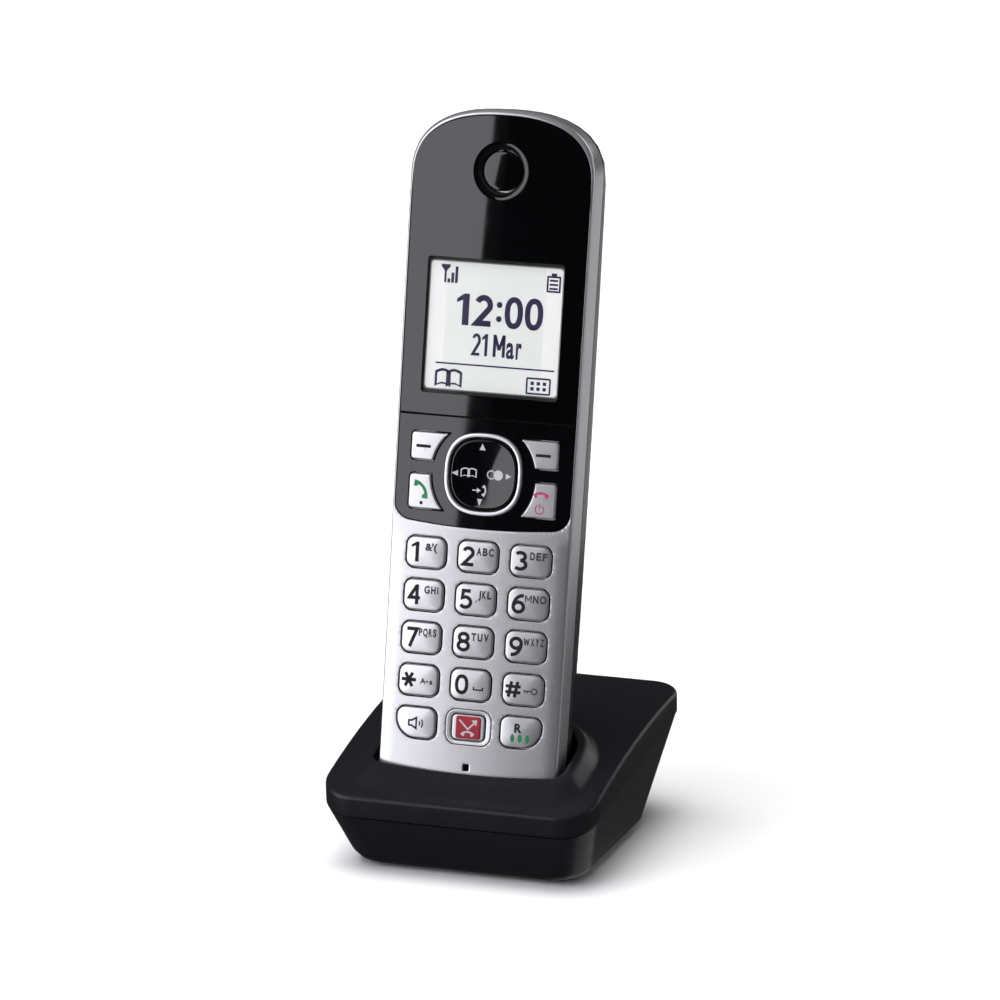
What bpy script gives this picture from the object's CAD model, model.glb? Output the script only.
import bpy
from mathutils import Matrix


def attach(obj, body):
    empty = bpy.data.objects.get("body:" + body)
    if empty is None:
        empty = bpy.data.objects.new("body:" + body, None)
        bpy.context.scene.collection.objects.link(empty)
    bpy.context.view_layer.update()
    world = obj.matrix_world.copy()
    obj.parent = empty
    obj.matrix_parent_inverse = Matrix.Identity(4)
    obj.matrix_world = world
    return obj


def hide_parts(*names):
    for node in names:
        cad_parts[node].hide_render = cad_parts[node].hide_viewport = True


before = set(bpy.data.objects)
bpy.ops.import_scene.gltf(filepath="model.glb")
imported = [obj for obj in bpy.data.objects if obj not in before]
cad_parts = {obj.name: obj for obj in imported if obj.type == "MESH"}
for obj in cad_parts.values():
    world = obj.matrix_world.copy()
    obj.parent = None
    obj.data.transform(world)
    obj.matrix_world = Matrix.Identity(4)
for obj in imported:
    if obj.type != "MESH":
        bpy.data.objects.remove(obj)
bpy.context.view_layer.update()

import math

import bmesh
import bpy
import numpy as np
from mathutils import Matrix, Vector
from mathutils.bvhtree import BVHTree
from mathutils.geometry import delaunay_2d_cdt

# Lengths are millimetres, and metres only on the stage. Handset pieces use (across, depth below the face, height
# along the handset).
MM = 0.001
LEAN = math.radians(13.7)
COS, SIN = math.cos(LEAN), math.sin(LEAN)
FACE_Y, FACE_Z = -28.5, 16.1
CROWN_R = 420.0  # the whole face bulges forward a little along its middle line

HALF_W, HALF_W_LOW = 24.2, 23.6
BOTTOM_R, ARCH_H, LENGTH, ARCH_POWER = 7.0, 17.0, 174.0, 2.4
BAND_D = 7.5
COLS = (-13.8, 0.0, 13.8)
ROWS = (63.4, 52.8, 42.2, 31.6, 21.0)
KEY_W, KEY_H, KEY_R, BIG_R = 10.5, 7.7, 2.2, 5.0
KEY_GAP = 0.3
SIDE_ROWS = ((86.3, 93.2), (74.2, 82.8))  # lower and upper end of the soft keys, and of the talk and off keys
NAV_V = 83.8
DIVIDER_V, DIVIDER_HALF = 97.6, 0.12  # the joint between the window and the navigation panel
EAR_V = 158.7
LCD_V = 119.9
LCD_W, LCD_H = 36.0, 33.8
PANEL_INSET, TOP_MARGIN = 0.8, 0.85
NAV_LOW = 70.3
MARGIN_U, MARGIN_R = 20.3, 26.0  # the margins beside the keys start here and bend with this radius
PANEL_BACK, SEAT_FLOOR = 1.2, 1.32  # depths of the window's and the panel's back, and of the floor behind them
CAP_BACK = 1.95  # depth of the back of a key cap, above its flange
GRAIN_DEPTH = 0.02
HEAD_ON_MIRROR = 0.0033  # share that the clear pane mirrors when it is looked at straight on


# ------------------------------------------------------------------ placing

def on_handset(points):
    p = np.asarray(points, float).reshape(-1, 3)
    return np.stack([p[:, 0], FACE_Y + p[:, 1] * COS + p[:, 2] * SIN, FACE_Z - p[:, 1] * SIN + p[:, 2] * COS], 1)


def as_is(points):
    return np.asarray(points, float).reshape(-1, 3)


def crown(u):
    return u * u / (2 * CROWN_R)


# ------------------------------------------------------------------ loops

def clean(loop):
    """The loop without repeated points, and anticlockwise."""
    kept = []
    for p in loop:
        if not kept or math.dist(p, kept[-1]) > 1e-5:
            kept.append(tuple(p))
    if math.dist(kept[0], kept[-1]) < 1e-5:
        kept.pop()
    area = sum(a[0] * b[1] - b[0] * a[1] for a, b in zip(kept, kept[1:] + kept[:1]))
    return kept if area > 0 else kept[::-1]


def dense(loop, step=1.2):
    """The loop with points added, so that no side is longer than step."""
    out = []
    for a, b in zip(loop, loop[1:] + loop[:1]):
        n = max(1, math.ceil(math.dist(a, b) / step))
        out += [(a[0] + (b[0] - a[0]) * i / n, a[1] + (b[1] - a[1]) * i / n) for i in range(n)]
    return out


def offset(loop, dist):
    """The loop grown by dist, or shrunk where dist is negative."""
    p = np.array(loop, float)
    e1, e2 = p - np.roll(p, 1, 0), np.roll(p, -1, 0) - p
    n1, n2 = (np.stack([e[:, 1], -e[:, 0]], 1) / np.linalg.norm(e, axis=1)[:, None] for e in (e1, e2))
    both = (n1 + n2) / np.maximum(1 + (n1 * n2).sum(1), 0.25)[:, None]
    return [tuple(q) for q in p + both * dist]


def scaled(loop, s, centre):
    return [(centre[0] + (x - centre[0]) * s, centre[1] + (y - centre[1]) * s) for x, y in loop]


def even(start, stop, steps):
    """Evenly spaced values from start to stop, both included."""
    return [start + (stop - start) * i / steps for i in range(steps + 1)]


def arc(cx, cy, r, start, stop, steps):
    angles = [math.radians(a) for a in even(start, stop, steps)]
    return [(cx + r * math.cos(a), cy + r * math.sin(a)) for a in angles]


def circle(cx, cy, r, steps=64):
    return arc(cx, cy, r, 0, 360, steps)[:-1]


def inside(spots, loops, merged=False):
    """True for each spot that lies inside an odd number of the loops, or, merged, inside any of them."""
    if merged:
        return np.any([inside(spots, [loop]) for loop in loops], axis=0)
    a = np.array([p for loop in loops for p in loop], float)
    b = np.array([p for loop in loops for p in loop[1:] + loop[:1]], float)
    x, y = np.asarray(spots, float)[:, :1], np.asarray(spots, float)[:, 1:]
    crosses = (a[:, 1] > y) != (b[:, 1] > y)
    rise = np.where(b[:, 1] == a[:, 1], 1.0, b[:, 1] - a[:, 1])
    return (crosses & (x < a[:, 0] + (y - a[:, 1]) * (b[:, 0] - a[:, 0]) / rise)).sum(1) % 2 == 1


def triangles(loops, extra=(), merged=False):
    """Flat points and triangles inside the first loop and outside the others, or, merged, inside any loop."""
    flat, edges = [], []
    for loop in loops:
        n = len(loop)
        edges += [(len(flat) + i, len(flat) + (i + 1) % n) for i in range(n)]
        flat += loop
    made = delaunay_2d_cdt([Vector(p) for p in flat + list(extra)], edges, [], 1, 1e-7)
    points = np.array([p[:] for p in made[0]], float)
    faces = [list(f) for f in made[2]]
    kept = inside(np.array([points[f].mean(0) for f in faces]), loops, merged)
    return points, [f for f, k in zip(faces, kept) if k]


def signed(x, p):
    return math.copysign(abs(x) ** p, x)


def squircle(cx, cy, half, power=2.6):
    angles = even(0, 2 * math.pi, 96)[:-1]
    return [(cx + half * signed(math.cos(a), 2 / power), cy + half * signed(math.sin(a), 2 / power)) for a in angles]


def round_box(cx, cy, w, h, radii, steps=7):
    a, b, c, d = (radii,) * 4 if isinstance(radii, (int, float)) else radii
    x, y = w / 2, h / 2
    return clean(arc(cx + x - a, cy + y - a, a, 0, 90, steps) + arc(cx - x + b, cy + y - b, b, 90, 180, steps)
                 + arc(cx - x + c, cy - y + c, c, 180, 270, steps) + arc(cx + x - d, cy - y + d, d, 270, 360, steps))


def softened(corners, radii):
    """A polygon with its corners rounded; radii holds one radius per corner, 0 to leave it."""
    out, n = [], len(corners)
    for i, r in enumerate(radii):
        p, a, b = (Vector(corners[k % n]) for k in (i, i - 1, i + 1))
        if not r:
            out.append(tuple(p))
            continue
        da, db = (a - p).normalized(), (b - p).normalized()
        half = da.angle(db) / 2
        reach = min(r / math.tan(half), (a - p).length * 0.48, (b - p).length * 0.48)
        s, e = p + da * reach, p + db * reach
        for t in even(0, 1, 6):
            out.append(tuple(s * (1 - t) ** 2 + p * 2 * t * (1 - t) + e * t * t))
    return clean(out)


def arch(inset, lower=0.0):
    """The arched top, from right to left; lower sets its crown down without moving its sides."""
    return [((HALF_W - inset) * signed(math.cos(a), 2 / ARCH_POWER),
             LENGTH - ARCH_H + (ARCH_H - inset - lower) * abs(math.sin(a)) ** (2 / ARCH_POWER))
            for a in even(0, math.pi, 44)]


def handset_loop():
    r, c = BOTTOM_R, HALF_W_LOW - BOTTOM_R
    return dense(clean(arch(0) + arc(-c, r, r, 180, 270, 14) + arc(c, r, r, 270, 360, 14)))


def side_at(v, inset):
    return HALF_W_LOW - inset + (HALF_W - HALF_W_LOW) * (v - BOTTOM_R) / (LENGTH - ARCH_H - BOTTOM_R)


def window_loop():
    v = DIVIDER_V + DIVIDER_HALF
    u = side_at(v, PANEL_INSET)
    return dense(clean(arch(PANEL_INSET, TOP_MARGIN) + [(-u, v), (u, v)]))


def nav_panel_lower(gap):
    half, low, sag, r = side_at(80, PANEL_INSET - gap), NAV_LOW - gap, 0.9, 4.6 + gap
    cx = half - r
    bow_r = (cx * cx + sag * sag) / (2 * sag)
    bow = math.degrees(math.asin(cx / bow_r))
    return (arc(-cx, low + sag + r, r, 180, 262, 12) + arc(0, low + bow_r, bow_r, 270 - bow, 270 + bow, 30)
            + arc(cx, low + sag + r, r, 278, 360, 12))


def nav_panel_loop():
    v = DIVIDER_V - DIVIDER_HALF
    u = side_at(v, PANEL_INSET)
    return dense(clean([(u, v), (-u, v)] + nav_panel_lower(0)))


def key_loop(index, grow=0.0):
    col, row = index % 3, index // 3
    r = KEY_R + grow
    big = BIG_R + grow
    radii = (r, r, big if index == 12 else r, big if index == 14 else r)
    return dense(round_box(COLS[col], ROWS[row], KEY_W + 2 * grow, KEY_H + 2 * grow, radii), 0.9)


def side_key_loop(side, row, grow=0.0):
    low, high = SIDE_ROWS[row]
    low, high, r, outer, v0 = low - grow, high + grow, 13.8 - grow, 19.4 + grow, NAV_V - 0.5

    def inner(v):
        return math.sqrt(r * r - (v - v0) ** 2), v

    steps = 12
    curve = [inner(v) for v in even(high, low, steps)]
    corners = [(outer, high)] + curve + [(outer, low)]
    radii = [1.1 + grow, 0.25] + [0] * (steps - 1) + [0.25, 1.1 + grow]
    return dense(clean([(side * u, v) for u, v in softened(corners, radii)]), 0.7)


def side_key_loops(grow):
    return [side_key_loop(side, row, grow) for side in (-1, 1) for row in (0, 1)]


# ------------------------------------------------------------------ meshes

def new_object(name, data):
    thing = bpy.data.objects.new(name, data)
    bpy.context.scene.collection.objects.link(thing)
    return thing


class Shape:
    """The vertices and faces of one piece, collected loop by loop."""

    def __init__(self):
        self.points, self.faces, self.tints = [], [], []

    def add(self, points):
        first = len(self.points)
        self.points += [tuple(p) for p in points]
        return list(range(first, len(self.points)))

    def face(self, corners, tint=0):
        self.faces.append(tuple(corners))
        self.tints.append(tint)

    def skin(self, rings, tint=0):
        for a, b in zip(rings, rings[1:]):
            for i in range(len(a)):
                j = (i + 1) % len(a)
                self.face((a[i], a[j], b[j], b[i]), tint)

    def cap(self, ring, tint=0):
        middle = self.add([np.mean([self.points[i] for i in ring], 0)])[0]
        for i in range(len(ring)):
            self.face((ring[i], ring[(i + 1) % len(ring)], middle), tint)

    def level(self, loop, depth):
        """The points of a loop, all at one depth."""
        return self.add([(x, depth, y) for x, y in loop])

    def plug(self, rings):
        """A closed solid through the rings."""
        self.skin(rings)
        self.cap(rings[0][::-1])
        self.cap(rings[-1])

    def fill(self, loops, place, grid=1.5, tint=0):
        """Triangles inside the first loop and outside the others, on a grid so that they can follow a bulge.

        Place turns flat points into 3-D ones.
        """
        outer = np.array(loops[0])
        gx, gy = (np.arange(math.ceil(low / grid) * grid, high, grid)
                  for low, high in zip(outer.min(0), outer.max(0)))
        spots = np.array([(x, y) for x in gx for y in gy])
        spots = spots[inside(spots, loops)]
        a = np.array([p for loop in loops for p in loop], float)
        ab = np.array([p for loop in loops for p in loop[1:] + loop[:1]], float) - a
        t = ((spots[:, None] - a) * ab).sum(2) / np.maximum((ab * ab).sum(1), 1e-12)
        near = a + ab * np.clip(t, 0, 1)[..., None]
        clear = np.linalg.norm(spots[:, None] - near, axis=2).min(1) > grid * 0.35
        extra = [tuple(p) for p in spots[clear]]
        points, faces = triangles([list(loop) for loop in loops], extra)
        used = sorted({i for f in faces for i in f})
        ids = dict(zip(used, self.add(place(points[used]))))
        for f in faces:
            self.face([ids[i] for i in f], tint)

    def build(self, name, looks, body, slot=None, stands_for=(), where=on_handset, sharp=40.0, normals=None):
        mesh = bpy.data.meshes.new(name)
        mesh.from_pydata((where(self.points) * MM).tolist(), [], self.faces)
        mesh.polygons.foreach_set("material_index", self.tints)
        for look in looks:
            mesh.materials.append(look)
        bm = bmesh.new()
        bm.from_mesh(mesh)
        bmesh.ops.remove_doubles(bm, verts=bm.verts, dist=3e-6)
        bmesh.ops.dissolve_degenerate(bm, dist=1e-7, edges=bm.edges)
        bmesh.ops.recalc_face_normals(bm, faces=bm.faces)
        bm.to_mesh(mesh)
        bm.free()
        mesh.shade_smooth()
        mesh.set_sharp_from_angle(angle=math.radians(sharp))
        piece = new_object(name, mesh)
        if normals is None:
            piece.modifiers.new("even_shading", "WEIGHTED_NORMAL").keep_sharp = True
        else:
            mesh.normals_split_custom_set(normals(mesh))
        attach(piece, body)
        if stands_for:
            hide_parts(*stands_for)
        return piece


def at_depth(depth, bulge=crown):
    def place(flat):
        return np.stack([flat[:, 0], depth + bulge(flat[:, 0]), flat[:, 1]], 1)
    return place


def ring(shape, loop, grow, depth):
    """The points of a loop, grown by an amount, at a depth under the bulged face."""
    flat = np.array(offset(loop, grow) if grow else loop, float)
    return shape.add(at_depth(depth)(flat))


def rounded(edge, steps=4, sign=-1):
    """Offsets and depths of a quarter round of radius edge, from the front surface to the wall."""
    return [(sign * edge * (1 - math.sin(a)), edge * (1 - math.cos(a))) for a in even(0, math.pi / 2, steps)]


def panel(shape, outer, holes, edge, hole_edge, regions=()):
    """A plate with rounded front edges and openings; regions are inner loops filled in another tint."""
    regions = list(regions)
    shape.fill([offset(outer, -edge)] + [offset(h, hole_edge) for h in holes] + regions, at_depth(0))
    for k, loop in enumerate(regions):
        for depth in (0, PANEL_BACK):
            shape.fill([loop], at_depth(depth), tint=k + 1)
    walls = [(outer, rounded(edge))] + [(h, rounded(hole_edge, sign=1)) for h in holes]
    for loop, profile in walls:
        shape.skin([ring(shape, loop, g, d) for g, d in profile + [(0, PANEL_BACK)]])
    shape.fill([outer] + holes + regions, at_depth(PANEL_BACK))


def face_normals(mesh):
    """Exact normals of the bulged front for the faces that look forward, so that it mirrors without ripples."""
    forward = Vector((0, -COS, SIN))
    out = []
    for poly in mesh.polygons:
        front = poly.normal.dot(forward) > 0.98
        for i in poly.loop_indices:
            u = mesh.vertices[mesh.loops[i].vertex_index].co.x / MM
            out.append(Vector((u / CROWN_R, forward.y, forward.z)).normalized() if front else Vector((0, 0, 0)))
    return out


# ------------------------------------------------------------------ looks

def wire(tree, value, target):
    """Links a socket to an input, or sets the input's own value."""
    if isinstance(value, bpy.types.NodeSocket):
        tree.links.new(value, target)
    else:
        target.default_value = value


def make(tree, kind, result, inputs=(), **settings):
    """Makes a node, sets it up and gives its named output."""
    made = tree.nodes.new("ShaderNode" + kind)
    for name, value in settings.items():
        setattr(made, name, value)
    for key, value in dict(inputs).items():
        wire(tree, value, made.inputs[key])
    return made.outputs[result]


def noise(tree, scale, detail=3.0, stretch=None):
    place = make(tree, "TexCoord", "Object")
    if stretch:
        place = make(tree, "Mapping", "Vector", {"Scale": stretch, "Vector": place})
    return make(tree, "TexNoise", "Fac", {"Scale": scale, "Detail": detail, "Vector": place})


def span(tree, value, low, high, start=0.3, stop=0.7, **settings):
    return make(tree, "MapRange", "Result", {"From Min": start, "From Max": stop, "To Min": low, "To Max": high,
                                             "Value": value}, **settings)


def mix(tree, share, a, b):
    return make(tree, "Mix", "Result", {"Factor": share, "A": a, "B": b}, data_type="RGBA")


def blank_look(name):
    material = bpy.data.materials.new("look_" + name)
    material.use_nodes = True
    return material, material.node_tree


def look(name, colour, rough, metal=0.0, mottle=0.06, mottle_scale=60.0, rough_spread=0.12, grain=0.0,
         grain_scale=2500.0, stretch=None, specular=0.5, glow=0.0):
    """A Principled surface whose colour and roughness drift a little, with a fine grain where one is asked for."""
    material, tree = blank_look(name)
    dark, pale = [(*(max(0.0, c * (1 + s * mottle)) for c in colour), 1.0) for s in (-1, 1)]
    tone = mix(tree, span(tree, noise(tree, mottle_scale, stretch=stretch), 0, 1), dark, pale)
    patch = noise(tree, mottle_scale * 2.3, 4.0, stretch)
    settings = {"Base Color": tone, "Metallic": metal, "Specular IOR Level": specular,
                "Roughness": span(tree, patch, rough * (1 - rough_spread), rough * (1 + rough_spread))}
    if grain:
        height = noise(tree, grain_scale, 2.0, stretch)
        settings["Normal"] = make(tree, "Bump", "Normal",
                                  {"Strength": grain, "Distance": GRAIN_DEPTH * MM, "Height": height})
    if glow:
        settings.update({"Emission Color": tone, "Emission Strength": glow})
    for key, value in settings.items():
        wire(tree, value, tree.nodes["Principled BSDF"].inputs[key])
    return material


def clear_look(name):
    """The see-through part of the glossy window: a clear pane under a mirror that shows at low angles."""
    material, tree = blank_look(name)
    tree.nodes.remove(tree.nodes["Principled BSDF"])
    clear = make(tree, "BsdfTransparent", "BSDF", {"Color": (0.96, 0.97, 0.96, 1)})
    mirror = make(tree, "BsdfGlossy", "BSDF", {"Roughness": span(tree, noise(tree, 80), 0.02, 0.04)})
    # a Fresnel node would turn the inner side of the pane into a full mirror at low angles
    slant = make(tree, "LayerWeight", "Facing", {"Blend": 0.5})
    steep = make(tree, "Math", "Value", {0: slant, 1: 5}, operation="POWER")
    share = make(tree, "Math", "Value", {0: steep, 1: HEAD_ON_MIRROR}, use_clamp=True)
    pane = make(tree, "MixShader", "Shader", {"Fac": share, 1: clear, 2: mirror})
    wire(tree, pane, tree.nodes["Material Output"].inputs["Surface"])
    return material


# the fine sparkle of the silver paint
SHIMMER = {"mottle": 0.03, "mottle_scale": 2600, "grain_scale": 6000}
LOOKS = {name: look(name, colour, rough, **more) for name, colour, rough, more in (
    ("cradle_black", (0.0065, 0.0062, 0.0085), 0.34, dict(grain=0.25, grain_scale=3200, rough_spread=0.1,
                                                          specular=0.32)),
    ("foot_rubber", (0.03, 0.03, 0.032), 0.8, dict(grain=0.6, grain_scale=1500)),
    ("steel", (0.56, 0.56, 0.57), 0.3, dict(metal=1.0, stretch=(1, 1, 8), grain=0.3)),
    ("circuit_board", (0.02, 0.13, 0.06), 0.35, dict(mottle=0.25, mottle_scale=220, grain=0.2)),
    ("connector_black", (0.02, 0.02, 0.02), 0.5, dict(grain=0.3)),
    ("gold_contact", (0.78, 0.55, 0.22), 0.25, dict(metal=1.0, grain=0.15)),
    ("silver_paint", (0.50, 0.50, 0.515), 0.30, dict(metal=0.88, grain=0.10, **SHIMMER)),
    ("rear_black", (0.006, 0.006, 0.008), 0.28, dict(grain=0.12, grain_scale=2800)),
    ("window_black", (0.0012, 0.0012, 0.0016), 0.035, dict(mottle=0.2, rough_spread=0.3)),
    ("panel_black", (0.0015, 0.0015, 0.002), 0.045, dict(mottle=0.2, rough_spread=0.3)),
    ("bright_trim", (0.66, 0.66, 0.68), 0.33, dict(metal=0.95, mottle=0.03, grain=0.05, grain_scale=5000)),
    ("display", (0.605, 0.596, 0.602), 0.5, dict(mottle=0.02, mottle_scale=90, glow=0.27)),
    ("display_frame", (0.7, 0.7, 0.69), 0.5, {}),
    ("mat_rubber", (0.16, 0.16, 0.17), 0.7, dict(grain=0.4)),
    ("speaker_black", (0.02, 0.02, 0.02), 0.6, dict(grain=0.5)),
    ("battery_sleeve", (0.05, 0.22, 0.09), 0.3, dict(metal=0.2, mottle=0.15, mottle_scale=120)),
    ("key_silver", (0.54, 0.54, 0.555), 0.31, dict(metal=0.88, grain=0.08, **SHIMMER)),
    ("block_key", (0.25, 0.014, 0.027), 0.42, dict(mottle=0.08, mottle_scale=400, specular=0.25)),
    ("block_trim", (0.56, 0.57, 0.585), 0.4, dict(metal=0.8, grain=0.06, **SHIMMER)),
    ("gap_black", (0.006, 0.006, 0.006), 0.6, dict(mottle=0.1)),
)}
GAP_BLACK = LOOKS["gap_black"]
DARK_INK, GREY_INK, GREEN_INK, RED_INK, WHITE_INK, LCD_INK, LCD_SHADE = (
    look(name, colour, rough, mottle=mottle, mottle_scale=scale, specular=specular)
    for name, colour, rough, mottle, scale, specular in (
        ("dark_ink", (0.012, 0.012, 0.014), 0.5, 0.15, 800, 0.12),
        ("grey_ink", (0.042, 0.042, 0.048), 0.5, 0.12, 800, 0.12),
        ("green_ink", (0.020, 0.17, 0.065), 0.45, 0.1, 800, 0.15),
        ("red_ink", (0.34, 0.035, 0.13), 0.45, 0.1, 800, 0.15),
        ("white_ink", (0.40, 0.40, 0.42), 0.45, 0.05, 800, 0.5),
        ("display_ink", (0.032, 0.026, 0.066), 0.5, 0.12, 500, 0.1),
        ("display_shade", (0.20, 0.20, 0.21), 0.5, 0.1, 500, 0.1)))
CLEAR = clear_look("clear_window")


# ------------------------------------------------------------------ handset shell

def housing_front(flat):
    """The silver front falls away towards its sides, beside and below the keys."""
    u, v = flat[:, 0], flat[:, 1]
    low = np.clip((NAV_LOW - 0.5 - v) / 3.0, 0, 1)
    margin = np.maximum(0.0, np.abs(u) - MARGIN_U)
    return np.stack([u, crown(u) + low * low * (3 - 2 * low) * margin ** 2 / (2 * MARGIN_R), v], 1)


def build_front_housing():
    s = Shape()
    outer = handset_loop()
    seat = dense(clean(arch(PANEL_INSET - 0.1, TOP_MARGIN) + nav_panel_lower(0.1)))
    openings = [key_loop(i, KEY_GAP) for i in range(15) if i != 13]
    openings.append(dense(round_box(0, ROWS[4], 12.06, 8.86, 2.6), 0.9))
    lip, seat_lip, mic_lip = 0.2, 0.08, 0.1
    mic = dense(round_box(0, 11.0, 1.45, 1.6, 0.3, 4), 0.3)

    def on_front(loop, grow, depth):
        spots = housing_front(np.array(offset(loop, grow) if grow else loop, float))
        return s.add(spots + np.array([0, depth, 0]))

    # the rounded edge is slim at the sides, and deeper over the arched top
    inward = np.array(outer) - np.array(offset(outer, -1))
    over = np.clip((np.array(outer)[:, 1:] - 150) / 22, 0, 1)
    edge = 0.55 + 0.75 * over
    rim = [tuple(p) for p in np.array(outer) - inward * edge]
    s.fill([rim, offset(seat, seat_lip)] + [offset(k, lip) for k in openings] + [offset(mic, 0.5)],
           housing_front, 1.2)
    rings = []
    for a in even(0, math.pi / 2, 6):
        spots = housing_front(np.array(outer) - inward * edge * (1 - math.sin(a)))
        spots[:, 1] += (1.0 + 0.4 * over[:, 0]) * (1 - math.cos(a))
        rings.append(s.add(spots))
    band = [s.points[i] for i in rings[-1]]
    for depth in (4.0, BAND_D - 0.25):
        rings.append(s.add([(p[0], depth, p[2]) for p in band]))
    inner = {g: np.array(offset(outer, g)) for g in (-0.2, -1.5)}
    for g, depth in ((-0.2, BAND_D), (-1.5, BAND_D), (-1.5, 2.6)):
        rings.append(s.add([(p[0], depth, p[1]) for p in inner[g]]))
    s.skin(rings)
    for k in openings:
        walls = [on_front(k, g, d) for g, d in rounded(lip, sign=1)]
        s.skin(walls[:3])
        s.skin(walls[2:] + [ring(s, k, 0, 1.9)], 1)
    hole = [on_front(mic, g, d) for g, d in rounded(mic_lip, sign=1, steps=2)]
    s.skin([on_front(mic, 0.5, 0), hole[0]])
    s.skin(hole + [ring(s, mic, 0, 1.5)], 1)
    s.cap(s.level(mic, 1.5), 1)
    s.skin([on_front(seat, g, d) for g, d in rounded(seat_lip, sign=1, steps=2)] + [ring(s, seat, 0, SEAT_FLOOR)], 1)
    # dark floor under the window and the navigation panel, open over the display, the earpiece and the keys
    holes = [dense(round_box(0, LCD_V, 38, 34.8, 0.3)), circle(0, EAR_V, 6.2), squircle(0, NAV_V, 9.3)]
    holes += side_key_loops(KEY_GAP)
    s.fill([seat] + holes, at_depth(SEAT_FLOOR), 2.0, 1)
    for h in holes:
        s.skin([ring(s, h, 0, SEAT_FLOOR), ring(s, h, 0, 2.4)], 1)
    return s.build("housing_front", [LOOKS["silver_paint"], GAP_BLACK], "handset", "silver_paint", ["front_housing"])


def build_window():
    s = Shape()
    lcd = dense(round_box(0, LCD_V, LCD_W, LCD_H, 0.9, 5))
    panel(s, window_loop(), [circle(0, EAR_V, 7.3)], 0.22, 0.12, [lcd])
    s.build("window_glossy", [LOOKS["window_black"], CLEAR], "handset", "window_black", ["window_lens"],
            normals=face_normals)


def build_nav_panel():
    s = Shape()
    panel(s, nav_panel_loop(), [squircle(0, NAV_V, 10.3)] + side_key_loops(KEY_GAP), 0.22, 0.16)
    s.build("navigation_panel", [LOOKS["panel_black"]], "handset", "panel_black", ["nav_panel"], normals=face_normals)


def swept(shape, loops_and_depths):
    """Skins loops given as (loop, depth) pairs, and gives their rings."""
    rings = [ring(shape, loop, 0, d) for loop, d in loops_and_depths]
    shape.skin(rings)
    return rings


def build_nav_ring():
    s = Shape()
    profile = [(10.25, 1.2), (10.25, -0.1), (10.21, -0.22), (10.12, -0.31), (10.0, -0.34), (9.8, -0.355),
               (9.6, -0.355), (9.4, -0.34), (9.28, -0.31), (9.19, -0.22), (9.15, -0.1), (9.15, 1.2), (10.25, 1.2)]
    swept(s, [(squircle(0, NAV_V, half), d) for half, d in profile])
    s.build("navigation_ring", [LOOKS["bright_trim"]], "handset", "bright_trim", ["nav_ring"])


def build_nav_key():
    s = Shape()
    dish, rim = 0.36, -0.1

    def depth(k):
        return dish + (rim - dish) * k * k

    profile = [(8.6, 1.9), (8.6, 0.2), (8.56, 0.03), (8.44, -0.07), (8.25, -0.1)]
    steps = [0.975, 0.95, 0.9, 0.85, 0.8, 0.75, 0.7, 0.6, 0.5, 0.4, 0.3, 0.2, 0.1, 0.03]
    profile += [(8.35 * k, depth(k)) for k in steps]
    rings = swept(s, [(squircle(0, NAV_V, half, 2.6 - 0.6 * (1 - half / 8.6)), d) for half, d in profile])
    s.cap(rings[-1])
    s.cap(rings[0][::-1])
    for a in range(4):
        u, v = 6.2 * math.cos(a * math.pi / 2), NAV_V + 6.2 * math.sin(a * math.pi / 2)
        s.plug([s.level(circle(u, v, 1, 20), d) for d in (1.8, 4.4)])
    s.build("navigation_key", [LOOKS["panel_black"]], "nav_key", "panel_black", ["nav_key"])
    return surface_of(s)


def build_earpiece():
    s = Shape()
    steps = 96
    bowl = [(5.9, 1.24), (7.2, 1.2), (7.2, 0.06), (7.12, -0.02), (6.95, -0.01), (6.6, 0.05), (6.25, 0.15),
            (6.0, 0.27), (5.8, 0.5), (5.6, 1.0), (5.35, 1.45), (5.3, 2.5), (5.9, 2.5), (5.9, 1.24)]
    rings = [s.level(circle(0, EAR_V, r, steps), d) for r, d in bowl]
    s.skin(rings[:9])
    s.skin(rings[8:], 1)
    disc = [(4.95, 2.1), (4.95, 1.18), (4.9, 1.08), (4.8, 1.02)]
    disc += [(4.8 * k, 1.02 - 0.07 * (1 - k * k)) for k in (0.85, 0.7, 0.5, 0.3, 0.1)]
    s.plug([s.level(circle(0, EAR_V, r, steps), d) for r, d in disc])
    for a in (90, 210, 330):
        ca, sa = math.cos(math.radians(a)), math.sin(math.radians(a))
        corners = [(r * ca - w * sa, EAR_V + r * sa + w * ca)
                   for r, w in ((4.8, -0.5), (5.6, -0.5), (5.6, 0.5), (4.8, 0.5))]
        rib = [s.level(corners, d) for d in (1.6, 2.1)]
        s.skin(rib)
        s.face(rib[0][::-1])
        s.face(rib[1])
    s.build("earpiece", [LOOKS["window_black"], GAP_BLACK], "handset", "window_black", ["earpiece_cover"])


# ------------------------------------------------------------------ keys

def surface_of(shape):
    """Depth of the shape's front at a point of the face."""
    tree = BVHTree.FromPolygons([Vector(p) for p in shape.points], shape.faces)

    def depth(u, v):
        hit = tree.ray_cast(Vector((u, -20, v)), Vector((0, 1, 0)))
        return hit[0].y if hit[0] else 0.0
    return depth


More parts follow.
